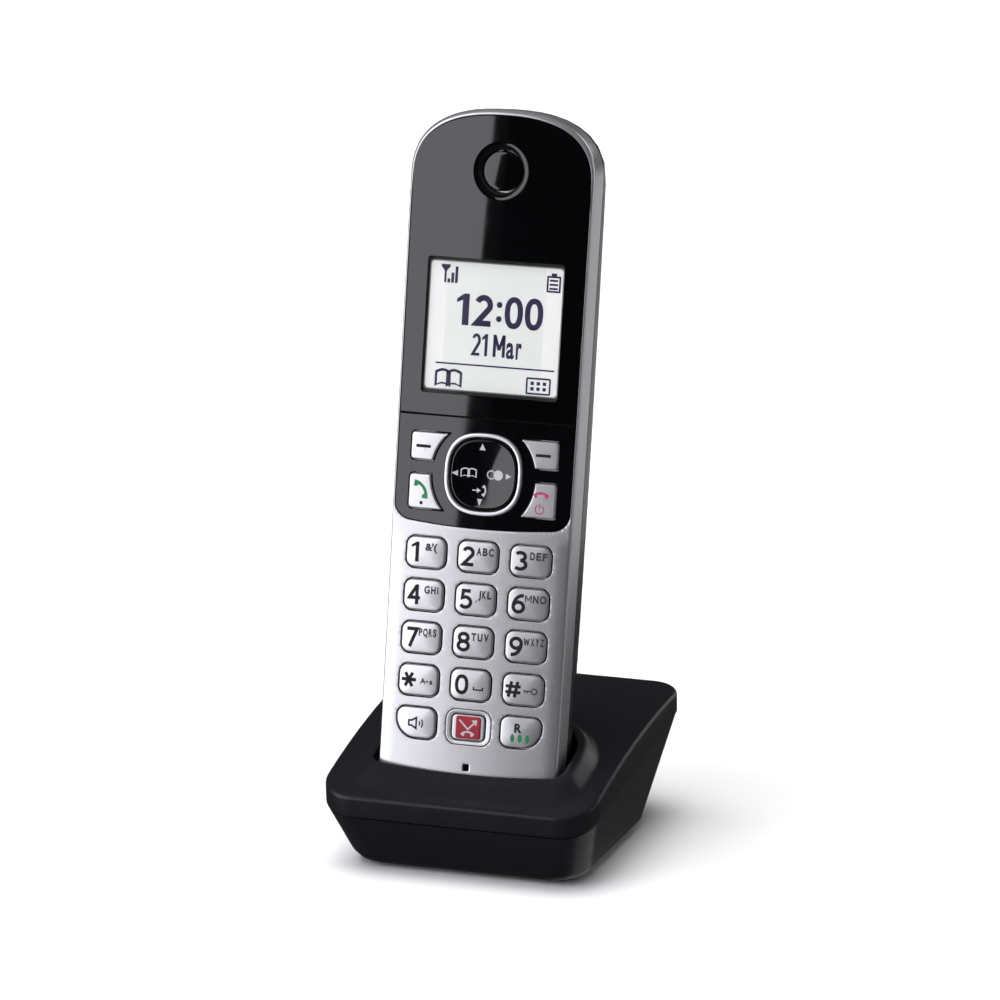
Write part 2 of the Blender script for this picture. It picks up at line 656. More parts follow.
def key_cap(name, loop, centre, foot, edge=0.42, top=-0.44, pillow=0.17):
    """A pillowed cap with its flange and post. Foot is the flange's box; the answer gives the front's depth."""
    s = Shape()
    wall = top + edge
    back, foot_ring = ring(s, loop, 0, CAP_BACK), ring(s, loop, 0, 0.06)
    s.skin([back, foot_ring], 1)
    rings = [foot_ring]
    if wall < 0.0:
        rings.append(ring(s, loop, 0, wall))
    for a in even(0, math.pi / 2, 5)[1:]:
        rings.append(ring(s, loop, -edge * (1 - math.cos(a)), wall - edge * math.sin(a)))
    rim = offset(loop, -edge)
    for k in (0.93, 0.85, 0.74, 0.6, 0.44, 0.28, 0.12):
        rings.append(ring(s, scaled(rim, k, centre), 0, top - pillow * (1 - k * k)))
    s.skin(rings)
    s.cap(rings[-1])
    surface = surface_of(s)
    s.cap(s.level(loop, CAP_BACK)[::-1], 1)
    u, v, w, h = foot
    s.plug([s.level(round_box(u, v, w, h, 1.0, 4), d) for d in (2.0, 2.5)])
    s.plug([s.level(circle(u, v, 1.9, 32), d) for d in (2.5, 4.25)])
    s.build("cap_" + name, [LOOKS["key_silver"], GAP_BLACK], name, "key_silver", [name])
    return surface


# ------------------------------------------------------------------ marks

def ribbon(line, half):
    """The outline of a line of even width, with square ends and sharp corners."""
    p = np.array(line, float)
    step = np.diff(p, axis=0)
    side = np.stack([-step[:, 1], step[:, 0]], 1) / np.linalg.norm(step, axis=1)[:, None]
    before, after = np.vstack([side[:1], side]), np.vstack([side, side[-1:]])
    n = (before + after) / (1 + (before * after).sum(1))[:, None] * half
    return [tuple(q) for q in p + n] + [tuple(q) for q in (p - n)[::-1]]


def is_closed(line):
    return math.dist(line[0], line[-1]) < 1e-6


def bend(cx, cy, rx, ry, start, stop):
    """Part of an ellipse."""
    angles = [math.radians(a) for a in even(start, stop, 22)]
    return [(cx + rx * math.cos(a), cy + ry * math.sin(a)) for a in angles]


def figure_lines(figure, end):
    """The middle lines of a figure in a box one unit wide and high; end is half the weight of the line."""
    six = [bend(0.5, 0.3, 0.5, 0.3, 0, 360), bend(0.88, 0.3, 0.88, 0.7, 180, 84)]
    return {
        "0": [[(0.5 + 0.5 * signed(math.cos(a), 0.86), 0.5 + 0.5 * signed(math.sin(a), 0.86))
               for a in even(0, 2 * math.pi, 48)]],
        "2": [bend(0.47, 0.72, 0.46, 0.28, 158, -28) + [(0.02, 0.0), (1.02, 0.0)]],
        "3": [bend(0.42, 0.765, 0.47, 0.235, 145, -90), bend(0.42, 0.265, 0.56, 0.265, 90, -142)],
        "4": [[(0.76, -end), (0.76, 1 + end)], [(0.70, 1.02), (0.02, 0.3), (1.08, 0.3)]],
        "5": [[(0.93, 1.0), (0.2, 1.0)] + bend(0.44, 0.31, 0.54, 0.31, 122, -146)],
        "6": six,
        "7": [[(-0.02, 1.0), (0.98, 1.0), (0.3, -end)]],
        "8": [bend(0.5, 0.765, 0.43, 0.235, 0, 360), bend(0.5, 0.265, 0.5, 0.265, 0, 360)],
        "9": [[(1 - x, 1 - y) for x, y in line] for line in six],
    }[figure]


class Marks:
    """Printed marks as thin solid ink on a surface. Every mark is drawn flat, cut finely and laid on."""

    def __init__(self, surface, origin=(0.0, 0.0)):
        self.surface, self.origin, self.items = surface, origin, []

    def area(self, loops, tint=0, merged=False):
        points, faces = triangles([clean(loop) for loop in loops], merged=merged)
        self.items.append((points.tolist(), faces, tint))

    def bar(self, u0, v0, u1, v1, tint=0, r=0.0):
        w, h = abs(u1 - u0), abs(v1 - v0)
        self.area([round_box((u0 + u1) / 2, (v0 + v1) / 2, w, h, max(r, 0.02), 4)], tint)

    def strokes(self, lines, width, tint=0):
        """Lines of even width, merged where they cross."""
        self.area([ribbon(line, width / 2) for line in lines], tint, merged=True)

    def digit(self, figure, u, v, width, height, weight):
        """A figure of even stroke, drawn in its box from the lower left corner."""
        half = weight / 2
        w, h = width - weight, height - weight
        lines = [[(u + half + x * w, v + half + y * h) for x, y in line] for line in figure_lines(figure, half / h)]
        solids, holes = [], []
        for line in sorted(lines, key=lambda line: not is_closed(line)):
            if is_closed(line):
                solids.append(offset(clean(line), half))
                holes.append(offset(clean(line), -half))
            else:
                solids.append(ribbon(line, half))
        points, faces = triangles([clean(loop) for loop in solids + holes], merged=True)
        middle = np.array([points[f].mean(0) for f in faces])
        # ink lies on any open stroke, and between the two sides of each closed one
        ink = np.zeros(len(faces), bool)
        for k, loop in enumerate(solids):
            part = inside(middle, [clean(loop)])
            if k < len(holes):
                part &= ~inside(middle, [clean(holes[k])])
            ink |= part
        self.items.append((points.tolist(), [f for f, m in zip(faces, ink) if m], 0))

    def outline(self, loop, width, tint=0):
        loop = clean(loop)
        self.area([loop, offset(loop, -width)], tint)

    def text(self, body, u, v, height, tint=0, bold=0.0, width=None):
        curve = bpy.data.curves.new("lettering", "FONT")
        curve.body, curve.size, curve.offset, curve.resolution_u = body, 1.0, bold, 4
        holder = new_object("lettering", curve)
        bpy.context.view_layer.update()
        mesh = bpy.data.meshes.new_from_object(holder.evaluated_get(bpy.context.evaluated_depsgraph_get()))
        xy = np.array([p.co[:2] for p in mesh.vertices], float)
        faces = [list(f.vertices) for f in mesh.polygons]
        bpy.data.objects.remove(holder)
        bpy.data.curves.remove(curve)
        bpy.data.meshes.remove(mesh)
        tall = height / 0.7  # the built-in type's capitals are 0.7 high
        wide = width / np.ptp(xy[:, 0]) if width else tall
        xy = np.stack([(xy[:, 0] - xy[:, 0].min()) * wide + u, xy[:, 1] * tall + v], 1)
        self.items.append(([tuple(p) for p in xy], faces, tint))

    def one(self, u, v, height, width, stem):
        """The figure 1, with its flag, from its left edge."""
        right, top = u + width, v + height
        left = right - stem
        self.area([[(left, v), (right, v), (right, top), (right - stem * 0.8, top), (u, top - height * 0.17),
                    (u, top - height * 0.3), (left, top - height * 0.2)]])

    def book(self, u, v, width, height, line):
        """An open book in outline: two pages, each with an arched top and a sagging foot."""
        half = width / 2
        for side in (-1, 1):
            cx = u + side * (half - line) / 2
            w = half + line
            across = [(cx + w * (t - 0.5), 0.16 * math.sin(math.pi * t)) for t in even(0, 1, 12)]
            page = [(x, v + height * (0.34 + rise)) for x, rise in across[::-1]]
            page = clean(page + [(x, v - height * (0.5 - rise)) for x, rise in across])
            self.area([page, scaled(page, 1 - 2 * line / w, (cx, v))])

    def zigzag(self, corners, line, tint=0):
        """Straight strokes between corners, each as wide as line across."""
        for (x0, y0), (x1, y1) in zip(corners, corners[1:]):
            self.area([[(x0 - line / 2, y0), (x0 + line / 2, y0), (x1 + line / 2, y1), (x1 - line / 2, y1)]], tint)

    def letters(self, body, u, v, height, width, tint=0):
        """Capitals of even width: M and W as strokes, the rest from the built-in type."""
        wide = {"I": 0.35, "J": 0.65, "M": 1.35, "W": 1.5, "O": 1.25, "Q": 1.3, "G": 1.15, "N": 1.15}
        shares = [wide.get(c, 0.95) for c in body]
        unit = width / (sum(shares) + 0.22 * (len(body) - 1))
        line, bold = 0.32, 0.045
        for c, share in zip(body, shares):
            w = unit * share
            left, right, top = u + line / 2, u + w - line / 2, v + height
            if c == "M":
                self.zigzag([(left, v), (left, top), (u + w / 2, v + height * 0.25), (right, top), (right, v)],
                            line, tint)
            elif c == "W":
                self.zigzag([(left, top), (u + w * 0.28, v), (u + w / 2, v + height * 0.85), (u + w * 0.72, v),
                             (right, top)], line, tint)
            elif c == "I":
                self.bar(u + w / 2 - line / 2, v, u + w / 2 + line / 2, top, tint)
            else:
                self.text(c, u, v, height, tint, bold, w)
            u += w + unit * 0.22

    def handset(self, u, v, size, turn, tint=0, spread=52):
        """A telephone receiver: an arc that is thick at both ends, bulging towards the angle turn."""
        outer, inner = [], []
        r = size / (2 * math.sin(math.radians(spread)))
        for a in even(-spread, spread, 28):
            end = min(1.0, max(0.0, (abs(a) / spread - 0.52) / 0.12))
            thick = size * (0.13 + 0.13 * end * end * (3 - 2 * end))
            t = math.radians(turn + a)
            outer.append((r * math.cos(t), r * math.sin(t)))
            inner.append(((r - thick) * math.cos(t), (r - thick) * math.sin(t)))
        t = math.radians(turn)
        cu, cv = u - (r - size * 0.16) * math.cos(t), v - (r - size * 0.16) * math.sin(t)
        self.area([[(x + cu, y + cv) for x, y in outer + inner[::-1]]], tint)

    def build(self, name, tints, body, lift=0.02, sink=0.03, cell=0.8):
        bm = bmesh.new()
        for points, faces, tint in self.items:
            made = [bm.verts.new((x + self.origin[0], y + self.origin[1], 0)) for x, y in points]
            for f in faces:
                try:
                    bm.faces.new([made[i] for i in f]).material_index = tint
                except ValueError:
                    pass
        bmesh.ops.remove_doubles(bm, verts=bm.verts, dist=1e-4)
        co = np.array([p.co for p in bm.verts])
        if self.surface is not None:
            for axis in (0, 1):
                for cut in np.arange(math.floor(co[:, axis].min()), co[:, axis].max(), cell):
                    direction = Vector((1, 0, 0)) if axis == 0 else Vector((0, 1, 0))
                    bmesh.ops.bisect_plane(bm, geom=bm.verts[:] + bm.edges[:] + bm.faces[:], dist=1e-5,
                                           plane_co=direction * cut, plane_no=direction)
        for f in bm.faces:
            if f.normal.z < 0:
                f.normal_flip()
        top = list(bm.faces)
        made = bmesh.ops.extrude_face_region(bm, geom=top)
        lifted = {g for g in made["geom"] if isinstance(g, bmesh.types.BMVert)}
        for p in bm.verts:
            u, v = p.co.x, p.co.y
            base = self.surface(u, v)
            p.co = Vector((u, base - lift if p in lifted else base + sink, v))
        bmesh.ops.triangulate(bm, faces=bm.faces)
        s = Shape()
        bm.verts.index_update()
        s.add([tuple(p.co) for p in bm.verts])
        for f in bm.faces:
            s.face([p.index for p in f.verts], f.material_index)
        bm.free()
        s.build(name, tints, body, sharp=30)


FIGURE_LOW, FIGURE_W, FIGURE_H, FIGURE_LINE = -2.45, 3.6, 4.95, 0.9  # foot, box and weight of the figures


def build_keys():
    """The keys in reading order. The middle of the last row is the call block key, built by itself."""
    names = [f"key_{i}" for i in range(1, 10)] + ["key_star", "key_0", "key_hash", "key_speaker", None, "key_recall"]
    letters = (None, ("ABC", -0.3, 4.5), ("DEF", -0.1, 4.5), ("GHI", 0.2, 3.8), ("JKL", 0.8, 3.4),
               ("MNO", -0.8, 5.5), ("PQRS", -0.6, 4.7), ("TUV", -0.4, 4.6), ("WXYZ", -0.5, 5.3))
    inks = [DARK_INK, GREY_INK, GREEN_INK]
    for i, name in enumerate(names):
        if name is None:
            continue
        u, v = COLS[i % 3], ROWS[i // 3]
        surface = key_cap(name, key_loop(i), (u, v), (u, v, KEY_W + 1.2, KEY_H + 1.2))
        m = Marks(surface, (u, v))
        if i == 0:
            m.one(-3.9, FIGURE_LOW, FIGURE_H, 2.1, 0.98)
            m.text("&'(", -0.2, 0.55, 1.7, 1, bold=0.045, width=3.3)
        elif i < 9:
            m.digit(str(i + 1), -4.2, FIGURE_LOW, FIGURE_W, FIGURE_H, FIGURE_LINE)
            word, left, width = letters[i]
            m.letters(word, left, 0.5, 1.8, width, 1)
            if i == 4:
                m.area([[(0.1, -0.75), (0.35, -0.75), (0.55, -0.1), (0.2, -0.1)]], 1)
        elif name == "key_star":
            for turn in (0, 60, 120):
                c, s_ = math.cos(math.radians(turn)), math.sin(math.radians(turn))
                m.strokes([[(-2.55 + c * t, s_ * t) for t in (-1.95, 0, 1.95)]], 0.86)
            m.text("A", 0.5, -0.75, 1.3, 1, bold=0.04)
            m.strokes([[(1.65, -0.2), (2.0, -0.2), (2.4, -0.2)]], 0.2, 1)
            m.area([[(2.3, 0.2), (2.3, -0.6), (2.8, -0.2)]], 1)
            m.text("a", 2.95, -0.75, 1.3, 1, bold=0.04)
        elif name == "key_0":
            m.digit("0", -4.0, FIGURE_LOW, FIGURE_W, FIGURE_H, FIGURE_LINE)
            m.area([[(0.8, -0.3), (0.8, -1.2), (3.5, -1.2), (3.5, -0.3), (3.15, -0.3), (3.15, -0.85), (1.15, -0.85),
                     (1.15, -0.3)]])
        elif name == "key_hash":
            for k in (-1, 1):
                x = -2.5 + k * 0.8
                m.strokes([[(x - 0.35, -1.95), (x, 0.0), (x + 0.35, 1.95)]], 0.84)
                m.strokes([[(x, k * 0.72) for x in (-4.5, -2.5, -0.5)]], 0.76)
            m.outline(circle(3.0, -0.15, 0.85, 28), 0.3, 1)
            m.area([[(2.2, 0.02), (0.2, 0.02), (0.2, -0.32), (0.5, -0.32), (0.5, -0.8), (0.8, -0.8), (0.8, -0.32),
                     (1.15, -0.32), (1.15, -0.7), (1.45, -0.7), (1.45, -0.32), (2.2, -0.32)]], 1)
        elif name == "key_speaker":
            m.area([[(-2.1, 0.75), (-2.1, -0.95), (-1.2, -0.95), (0.35, -1.85), (0.35, 1.65), (-1.2, 0.75)],
                    [(-1.65, 0.3), (-1.65, -0.5), (-1.0, -0.5), (-0.1, -1.05), (-0.1, 0.85), (-1.0, 0.3)]])
            for r in (0.95, 1.7):
                m.strokes([arc(0.1, -0.1, r, -36, 36, 12)], 0.36)
        elif name == "key_recall":
            m.text("R", -1.55, 0.05, 2.1, bold=0.045)
            for k in (-1, 0, 1):
                x = k * 1.95 - 0.2
                leaf = arc(x - 0.75, -1.45, 1.5, -44, 44, 8) + arc(x + 1.15, -1.45, 1.5, 136, 224, 8)
                m.area([leaf], 2)
        m.build("legend_" + name, inks, name)


def build_side_keys():
    icons = {"soft_key_left": (-1, 0), "soft_key_right": (1, 0), "talk_key": (-1, 1), "off_key": (1, 1)}
    for name, (side, row) in icons.items():
        low, high = SIDE_ROWS[row]
        loop = side_key_loop(side, row)
        centre = (side * (16.3 if row == 0 else 16.2), (low + high) / 2)
        foot = (side * 16.6, (low + high) / 2, 6, high - low + 1)
        surface = key_cap(name, loop, centre, foot, edge=0.34, top=-0.42, pillow=0.015)
        m = Marks(surface)
        if row == 0:
            u = -16.1 if side < 0 else 15.5
            m.bar(u - 1.95, 89.3, u + 1.95, 90.05, 0, 0.15)
        elif side < 0:
            m.handset(-15.9, 79.1, 5.9, 38, 1, 44)
            m.area([circle(-15.9, 75.6, 0.45, 20)], 0)
        else:
            m.handset(15.5, 80.0, 4.4, 90, 2, 40)
            m.strokes([arc(15.3, 76.4, 1.1, 122, 418, 30)], 0.26, 2)
            m.bar(15.17, 76.6, 15.43, 77.9, 2, 0.1)
        m.build("legend_" + name, [DARK_INK, GREEN_INK, RED_INK], name)


def build_call_block():
    v = ROWS[4]
    s = Shape()
    outer = dense(round_box(0, v, 11.94, 8.74, 2.57), 0.9)
    inner = dense(round_box(0, v, 9.2, 6.8, 1.5), 0.9)
    angles = np.linspace(-math.pi, math.pi, 72, endpoint=False)
    outer, inner = (np.array(resample(loop, (0, v), angles)) for loop in (outer, inner))
    section = [(0, 1.9), (0, 0.14), (0.05, 0.03), (0.15, -0.02), (0.3, 0.0), (0.6, 0.04), (0.88, 0.08), (0.96, 0.13),
               (1.0, 0.3), (1.0, 1.9)]  # share of the way in, and depth
    rings = [s.add(at_depth(d)(outer * (1 - k) + inner * k)) for k, d in section]
    s.skin(rings + rings[:1])
    s.build("call_block_trim", [LOOKS["block_trim"]], "handset", "bright_trim", ["call_block_bezel"])
    loop = dense(round_box(0, v, 8.6, 6.2, 1.2), 0.8)
    key_cap("key_call_block", loop, (0, v), (0, v, 9.8, 7.4), edge=0.2, top=-0.02, pillow=0.03)
    s = Shape()
    face = dense(round_box(0, v, 6.5, 5.6, 0.65), 0.5)
    rings = [ring(s, face, 0, 0.1)] + [ring(s, face, g, -0.34 + d) for g, d in rounded(0.22)[::-1]]
    rings += [ring(s, scaled(offset(face, -0.22), k, (0, v)), 0, -0.34) for k in (0.9, 0.6, 0.3, 0.08)]
    s.plug(rings)
    s.build("call_block_face", [LOOKS["block_key"]], "key_call_block", "block_key")
    m = Marks(surface_of(s), (0, v))
    m.handset(0, -1.4, 3.7, 90, 0, 46)
    m.strokes([[(-2.3, 1.8), (0.0, -0.4), (1.75, 1.35)]], 0.4)
    m.area([[(2.4, 2.05), (0.9, 1.85), (2.2, 0.55)]])
    m.build("legend_key_call_block", [WHITE_INK], "key_call_block")


def resample(loop, centre, angles):
    """Points of a loop, which winds once about centre, at given angles."""
    p = np.array(loop, float) - np.array(centre)
    a = np.unwrap(np.arctan2(p[:, 1], p[:, 0]))
    r = np.hypot(p[:, 0], p[:, 1])
    order = np.argsort(a)
    a, r = a[order], r[order]
    a3 = np.concatenate([a - 2 * math.pi, a, a + 2 * math.pi])
    r3 = np.tile(r, 3)
    # straight sides stay straight: blend the points themselves, and then meet each ray
    x3, y3 = r3 * np.cos(a3), r3 * np.sin(a3)
    out = []
    for t in angles:
        j = int(np.searchsorted(a3, t))
        ax, ay, bx, by = x3[j - 1], y3[j - 1], x3[j], y3[j]
        c, s_ = math.cos(t), math.sin(t)
        det = (bx - ax) * s_ - (by - ay) * c
        if abs(det) < 1e-12:
            out.append((centre[0] + bx, centre[1] + by))
            continue
        k = (ay * c - ax * s_) / det
        out.append((centre[0] + ax + (bx - ax) * k, centre[1] + ay + (by - ay) * k))
    return out


def build_nav_legends(surface):
    m = Marks(surface)
    v = NAV_V
    m.area([[(-1.4, 89.8), (0.2, 89.8), (-0.6, 91.4)]])
    m.area([[(-1.25, 77.7), (0.05, 77.7), (-0.6, 76.0)]])
    m.area([[(-6.7, 84.4), (-6.7, 83.0), (-8.4, 83.7)]])
    m.area([[(5.9, 84.5), (5.9, 83.1), (7.4, 83.8)]])
    m.book(-3.95, v + 0.2, 4.2, 2.4, 0.3)
    m.outline(circle(2.0, v + 0.1, 1.15, 28), 0.3)
    m.area([circle(3.85, v + 0.1, 1.25, 28)])
    m.strokes([[(-2.7, 79.8), (-1.9, 79.8), (-1.3, 79.8)]], 0.28)
    m.area([[(-1.5, 80.45), (-1.5, 79.15), (-0.5, 79.8)]])
    m.handset(0.45, 79.8, 3.0, 0, 0, 42)
    m.build("legend_nav_key", [WHITE_INK], "nav_key", lift=0.015)


def build_display():
    s = Shape()
    w, h, front, back = 37.8, 34.6, 1.4, 2.5
    loop = dense(round_box(0, LCD_V, w, h, 0.4, 3), 3)

    for depth in (front, back):
        s.fill([loop], at_depth(depth, lambda u: 0 * u), 3.0)
    s.skin([s.level(loop, depth) for depth in (front, back)])
    s.build("display_panel", [LOOKS["display"]], "handset", "display", ["lcd_glass"])
    m = Marks(lambda u, v: front)
    # signal mark: a mast and three bars
    m.area([[(-14.7, 134.9), (-14.7, 134.4), (-13.8, 133.3), (-13.8, 130.4), (-13.25, 130.4), (-13.25, 133.3),
             (-12.3, 134.4), (-12.3, 134.9)]])
    for u, top in ((-12.6, 131.4), (-11.6, 132.9), (-10.6, 134.5)):
        m.bar(u - 0.36, 130.4, u + 0.36, top)
    # battery mark, upright
    m.outline(round_box(15.0, 131.8, 3.7, 4.1, 0.3, 3), 0.48)
    m.bar(14.3, 133.85, 15.7, 134.5)
    for k in range(3):
        m.bar(13.9, 130.45 + k * 1.0, 16.1, 130.95 + k * 1.0)
    m.one(-10.1, 120.2, 7.8, 3.3, 1.75)
    m.digit("2", -5.5, 120.2, 5.2, 7.8, 1.45)
    for v in (122.2, 125.7):
        m.area([circle(1.15, v + 0.1, 0.75, 20)])
    for u in (2.6, 7.9):
        m.digit("0", u, 120.1, 4.8, 7.9, 1.4)
    m.digit("2", -5.6, 112.9, 2.5, 5.5, 0.72)
    m.one(-2.9, 112.9, 5.5, 1.5, 0.75)
    m.zigzag([(0.45, 112.9), (0.45, 118.4), (1.65, 114.6), (2.85, 118.4), (2.85, 112.9)], 0.78)
    m.text("a", 3.55, 112.9, 5.5, bold=0.025, width=2.1)
    m.text("r", 6.1, 112.9, 5.5, bold=0.03, width=1.5)
    m.bar(-14.8, 110.3, 16.4, 110.7)
    m.book(-11.2, 106.9, 7.2, 4.6, 0.62)
    m.outline(round_box(12.5, 106.5, 6.5, 4.2, 0.4, 4), 0.45)
    for i in range(3):
        for k in range(2):
            m.bar(10.45 + i * 1.6, 105.4 + k * 1.35, 11.35 + i * 1.6, 106.25 + k * 1.35, 0, 0.15)
    # the dark mask round the display, with a soft inner edge
    mask = [round_box(0, LCD_V, w - 2 * inset, h - 2 * inset, 0.9, 5) for inset in (0.1, 1.25, 1.55)]
    m.area(mask[:2], 1)
    m.area(mask[1:], 2)
    m.build("display_marks", [LCD_INK, GAP_BLACK, LCD_SHADE], "handset", lift=0.03, sink=0.02, cell=6)


# ------------------------------------------------------------------ cradle

CRADLE_W, CRADLE_D, RIM_R = 72.0, 74.5, 9.0
TOP_R = 245.04
BACK_Y, TOP_C = CRADLE_D / 2, 32.0 - TOP_R  # the top is an arc that is highest at the back, 32 mm up
POCKET_GAP = 0.8
FOOT_D, BACK_POWER = 25.4, 2.15  # depth of the handset's foot, and the roundness of its back
COLLAR_H, COLLAR_LIP, COLLAR_REACH, COLLAR_DIP = 3.4, 0.55, 6.3, 0.55


def top_z(y):
    return TOP_C + np.sqrt(TOP_R ** 2 - (y - BACK_Y) ** 2)


def pocket_loop():
    w, g, corner = HALF_W + POCKET_GAP, POCKET_GAP, 2.4
    deep, power = FOOT_D - BAND_D + g, 2 / BACK_POWER
    back = [(w * signed(math.cos(a), power), BAND_D + deep * math.sin(a) ** power)
            for a in even(0, math.pi, 48)]
    front = arc(-w + corner, -g + corner, corner, 180, 270, 8) + arc(w - corner, -g + corner, corner, 270, 360, 8)
    return dense(clean(back + front), 0.8)


def collar(s):
    """How far the collar stands above the top's arc, s outside the pocket's mouth."""
    if s < COLLAR_LIP:
        return COLLAR_H - COLLAR_LIP * (1 - math.sqrt(1 - (1 - s / COLLAR_LIP) ** 2))
    t = min(1.0, max(0.0, (s - 1.3) / (COLLAR_REACH - 1.3)))
    return COLLAR_H * (1 - t * t * (3 - 2 * t))


def build_cradle_top():
    s = Shape()
    pocket = pocket_loop()
    centre = (0.0, -14.0)

    def on_top(grow, lift):
        flat = np.array(offset(pocket, grow) if grow else pocket)
        u, d = flat[:, 0], flat[:, 1]
        t = np.full(len(u), 6.0)
        # the collar dips in the middle of the front, to show the foot
        front = np.clip((1.0 - d) / 3.0, 0, 1)
        share = 1 - COLLAR_DIP * front * np.clip(1 - (u / 24.0) ** 2, 0, 1)
        for _ in range(12):
            t = (top_z(FACE_Y + d * COS + t * SIN) + lift * share - FACE_Z + d * SIN) / COS
        return np.stack([u, FACE_Y + d * COS + t * SIN, FACE_Z - d * SIN + t * COS], 1)

    rim = dense(round_box(0, 0, CRADLE_W, CRADLE_D, RIM_R, 16), 2.0)
    mouth = on_top(0, collar(0))
    angles = np.concatenate([np.arctan2(q[:, 1] - centre[1], q[:, 0]) for q in (np.array(rim), mouth)])
    angles = np.sort(angles)
    angles = angles[np.concatenate([[True], np.diff(angles) > 0.006])]

    def matched(ring3):
        flat = np.array(resample(ring3[:, :2], centre, angles))
        base = np.unwrap(np.arctan2(ring3[:, 1] - centre[1], ring3[:, 0]))
        order = np.argsort(base)
        a = np.concatenate([base[order] - 2 * math.pi, base[order], base[order] + 2 * math.pi])
        return np.column_stack([flat, np.interp(angles, a, np.tile(ring3[order, 2], 3))])

    rings = [s.add(matched(on_top(grow, collar(grow))))
             for grow in (0, 0.03, 0.1, 0.2, 0.34, 0.55, 0.9, 1.4, 2.0, 2.7, 3.4, 4.1, 4.8, 5.4, 5.9, 6.3)]
    last = np.array([s.points[i] for i in rings[-1]])[:, :2]
    edge = 1.0

    def inner_rim(inset):
        return np.array(resample(offset(rim, -inset) if inset else rim, centre, angles))

    # the top out to its edge, the rounded edge, and the skirt: a ring's place from above, and how far it drops
    rest = [(last * (1 - k) + inner_rim(edge) * k, 0) for k in (0.12, 0.3, 0.5, 0.7, 0.88, 1.0)]
    for a in even(0, math.pi / 2, 6)[1:]:
        rest.append((inner_rim(edge * (1 - math.sin(a))), edge * (1 - math.cos(a))))
    for inset, drop in ((0, 3.0), (0, 5.2), (0.1, 5.42), (0.3, 5.5), (1.9, 5.5), (2.0, 2.2)):
        rest.append((inner_rim(inset), drop))
    rings += [s.add(np.column_stack([flat, top_z(flat[:, 1]) - drop])) for flat, drop in rest]
    s.skin(rings)
    # walls and floor of the pocket, along the handset
    first = [s.points[i] for i in rings[0]]
    y, z = np.array([p[1] for p in first]) - FACE_Y, np.array([p[2] for p in first]) - FACE_Z
    depth = y * COS - z * SIN
    floor_v = -0.1
    section = np.column_stack([[p[0] for p in first], depth])
    walls = [rings[0]]
    for v in (4.0, 1.2, floor_v + 0.5, floor_v + 0.15, floor_v):
        inset = {floor_v: 0.6, floor_v + 0.15: 0.25}.get(v, 0.0)
        flat = np.array(offset([tuple(p) for p in section], -inset)) if inset else section
        walls.append(s.add(on_handset(np.column_stack([flat, np.full(len(flat), v)]))))
    s.skin(walls)
    slots = [dense(round_box(side * 8, 13.0, 3.2, 3.4, 0.3, 3), 1) for side in (-1, 1)]
    floor = [tuple(p) for p in offset([tuple(p) for p in section], -0.6)]

    def on_floor(v):
        return lambda flat: on_handset(np.column_stack([flat, np.full(len(flat), v)]))

    s.fill([floor] + slots, on_floor(floor_v), 3.0)
    for loop in slots:
        s.skin([s.add(on_floor(v)(np.array(loop))) for v in (floor_v, -2.1)])
    s.build("cradle_cover", [LOOKS["cradle_black"]], "cradle", "cradle_black", ["cradle_top_cover"], where=as_is,
            sharp=50)


# ------------------------------------------------------------------ carried-over CAD pieces

def dress_cad_nodes():
    for name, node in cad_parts.items():
        if node.hide_render:
            continue
        slot = node.data.materials[0].name.split(".")[0]
        node.data.materials.clear()
        node.data.materials.append(LOOKS[slot])
        node.data.shade_smooth()
        node.modifiers.new("join_corners", "WELD").merge_threshold = 2e-6
        bevel = node.modifiers.new("soft_edges", "BEVEL")
        bevel.width = (0.25 if name in ("cradle_base", "rear_housing", "battery_cover") else 0.1) * MM
        bevel.segments, bevel.limit_method, bevel.angle_limit = 2, "ANGLE", math.radians(38)
        node.modifiers.new("even_shading", "WEIGHTED_NORMAL").keep_sharp = False


# ------------------------------------------------------------------ stage

MIDDLE = (0, 0, 0.1)  # in metres, as everything on the stage

def sheet(name, half, material):
    """A flat square, half its width from the middle to a side."""
    mesh = bpy.data.meshes.new(name)
    mesh.from_pydata([(-half, -half, 0), (half, -half, 0), (half, half, 0), (-half, half, 0)], [], [(0, 1, 2, 3)])
    mesh.materials.append(material)
    return new_object(name, mesh)


def aim(thing, spot, target):
    thing.location = spot
    thing.rotation_euler = (Vector(target) - Vector(spot)).to_track_quat("-Z", "Y").to_euler()


def around(azimuth, elevation, distance):
    """The place at this distance from the middle, seen from these angles."""
    a, e = math.radians(azimuth), math.radians(elevation)
    return (MIDDLE[0] + distance * math.sin(a) * math.cos(e), MIDDLE[1] - distance * math.cos(a) * math.cos(e),
            MIDDLE[2] + distance * math.sin(e))


def area_light(name, spot, target, width, height, radiance, colour=(1, 1, 1), shines=True, mirrored=True):
    """A soft light of even radiance. It can light surfaces, show in their reflections, or both."""
    data = bpy.data.lights.new(name, "AREA")
    data.shape, data.size, data.size_y = "RECTANGLE", width, height
    data.energy = radiance * math.pi * width * height
    data.color = colour
    light = new_object(name, data)
    light.visible_camera = False
    light.visible_diffuse = shines
    light.visible_glossy = mirrored
    aim(light, spot, target)


def floor_look():
    """Pale floor. Far from the object it glows a little, so that it stays pale out to the horizon."""
    material = look("floor", (0.86, 0.86, 0.87), 0.75, mottle=0.01, mottle_scale=3, specular=0.1)
    tree = material.node_tree
    reach = make(tree, "VectorMath", "Value", {0: make(tree, "TexCoord", "Object")}, operation="LENGTH")
    surface = tree.nodes["Principled BSDF"].inputs
    wire(tree, span(tree, reach, 0, 1, 0.35, 1.6, interpolation_type="SMOOTHSTEP"), surface["Emission Strength"])
    surface["Emission Color"].default_value = (1, 1, 1, 1)
    return material


